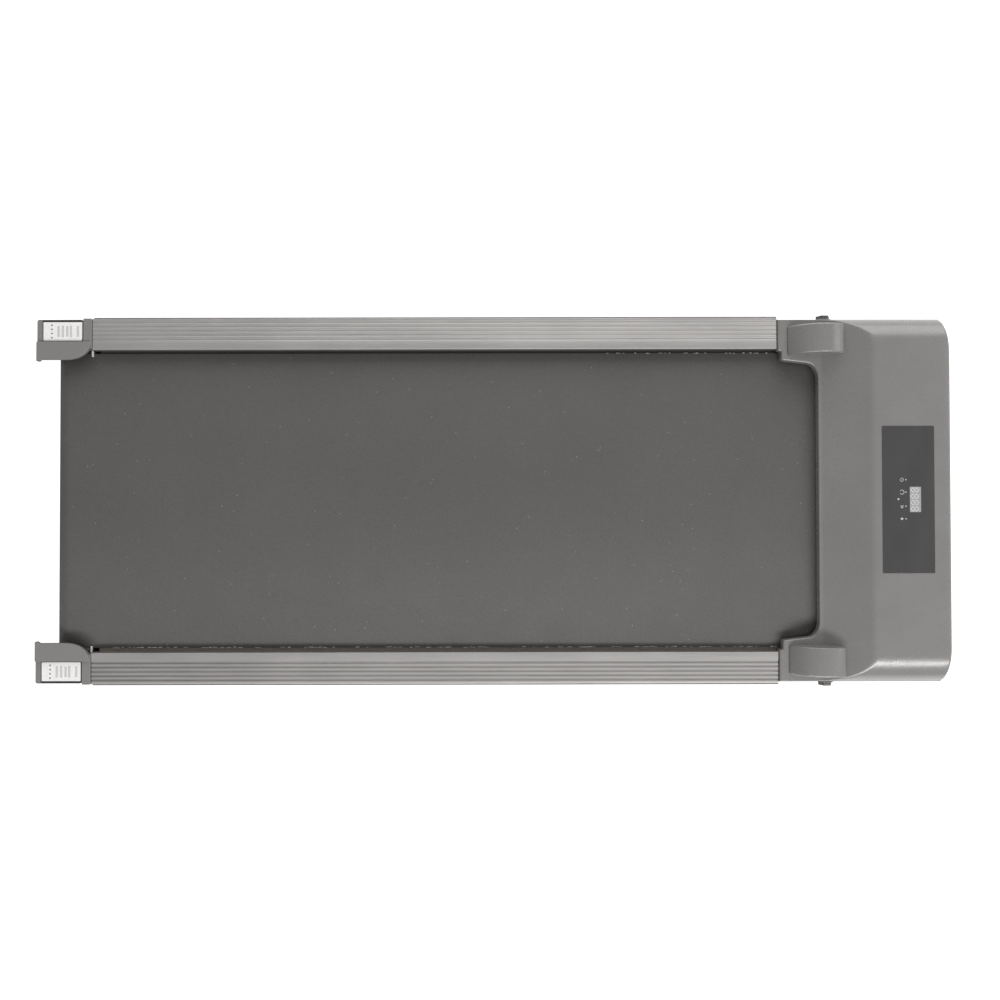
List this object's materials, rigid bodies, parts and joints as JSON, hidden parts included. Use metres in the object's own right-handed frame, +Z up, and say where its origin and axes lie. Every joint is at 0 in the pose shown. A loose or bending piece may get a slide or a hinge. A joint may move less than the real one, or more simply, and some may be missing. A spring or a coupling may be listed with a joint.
{
  "type": "treadmill",
  "caption": "Flat under-desk treadmill with ribbed side rails, a running belt over a deck board, and a low motor hood with control panel.",
  "frame": {"origin": "on the floor, under the middle of the machine", "axes": "+X runs forward from the rear end caps to the motor hood, +Y is the left side, +Z is up"},
  "size_m": [1.25, 0.5184, 0.124],
  "materials": {
    "frame": "black powder coat, semi-matt",
    "steel": "zinc-plated or machined steel",
    "aluminium": "ribbed extrusion, fine satin",
    "board": "dense fibreboard with a dark waxed face",
    "belt": "fine-grained PVC over woven polyester",
    "rubber": "black moulded rubber",
    "hood": "silver-grey paint with a fine metallic sparkle on moulded ABS",
    "cap": "grey moulded plastic with a fine grain",
    "black": "black moulded plastic",
    "panel": "dark printed film under a smooth clear coat",
    "label": null,
    "nylon": "natural nylon",
    "circuit": "green circuit board with its components",
    "red": "red moulded rocker"
  },
  "bodies": {
    "chassis": {"side_tube_left": "frame", "side_tube_right": "frame", "rear_crossmember": "frame", "centre_crossmember": "frame", "front_crossmember": "frame", "nose_crossmember": "frame", "motor_tray": "frame", "rear_axle": "steel", "front_axle": "steel", "tension_bolt_left": "steel", "tension_bolt_right": "steel", "motor_can": "steel", "motor_bracket": "steel", "handrail_bolt_left": "steel", "handrail_bolt_right": "steel", "wheel_axle_left": "steel", "wheel_axle_right": "steel", "side_rail_left": "aluminium", "side_rail_right": "aluminium", "controller_heatsink": "aluminium", "deck_board": "board", "running_belt": "belt", "deck_cushion_rear_left": "rubber", "deck_cushion_rear_right": "rubber", "deck_cushion_front_left": "rubber", "deck_cushion_front_right": "rubber", "drive_belt": "rubber", "foot_rear_left": "rubber", "foot_rear_right": "rubber", "foot_front_left": "rubber", "foot_front_right": "rubber", "motor_hood": "hood", "pivot_cover_left": "hood", "pivot_cover_right": "hood", "end_cap_left": "cap", "end_cap_right": "cap", "belly_pan": "black", "power_inlet": "black", "switch_housing": "black", "breaker_housing": "black", "control_panel": "panel", "index_label_left": "label", "index_label_right": "label", "belt_guide_left": "nylon", "belt_guide_right": "nylon", "controller_board": "circuit", "display_board": "circuit"},
    "rear_roller_unit": {"rear_roller": "steel", "rear_bearing_left": "steel", "rear_bearing_right": "steel"},
    "front_roller_unit": {"front_roller": "steel", "front_bearing_left": "steel", "front_bearing_right": "steel", "roller_pulley": "black"},
    "rotor_unit": {"motor_rotor": "steel", "motor_pulley": "steel"},
    "wheel_unit_left": {"wheel_left": "black"},
    "wheel_unit_right": {"wheel_right": "black"},
    "rocker_unit": {"rocker_switch": "red"},
    "reset_unit": {"breaker_button": "black"}
  },
  "joints": [
    {"name": "front_roller_spin", "type": "hinge", "parent": "chassis", "child": "front_roller_unit", "pos_m": [0.455, 0, 0.059], "axis": [0, 1, 0], "continuous": true},
    {"name": "rear_roller_spin", "type": "hinge", "parent": "chassis", "child": "rear_roller_unit", "pos_m": [-0.585, 0, 0.059], "axis": [0, 1, 0], "continuous": true},
    {"name": "motor_spin", "type": "hinge", "parent": "chassis", "child": "rotor_unit", "pos_m": [0.535, 0, 0.072], "axis": [0, 1, 0], "continuous": true},
    {"name": "wheel_spin_left", "type": "hinge", "parent": "chassis", "child": "wheel_unit_left", "pos_m": [0.585, 0.195, 0.025], "axis": [0, 1, 0], "continuous": true},
    {"name": "wheel_spin_right", "type": "hinge", "parent": "chassis", "child": "wheel_unit_right", "pos_m": [0.585, -0.195, 0.025], "axis": [0, 1, 0], "continuous": true},
    {"name": "mains_switch_rock", "type": "hinge", "parent": "chassis", "child": "rocker_unit", "pos_m": [0.614, -0.1, 0.05], "axis": [0, -1, 0], "range_deg": [0, 20]},
    {"name": "breaker_reset_press", "type": "slide", "parent": "chassis", "child": "reset_unit", "axis": [-1, 0, 0], "range_m": [0, 0.0025], "stiffness_N_per_m": 400}
  ],
  "couplings": [
    {"joint": "rear_roller_spin", "follows": "front_roller_spin", "ratio": 1},
    {"joint": "motor_spin", "follows": "front_roller_spin", "ratio": 2}
  ]
}
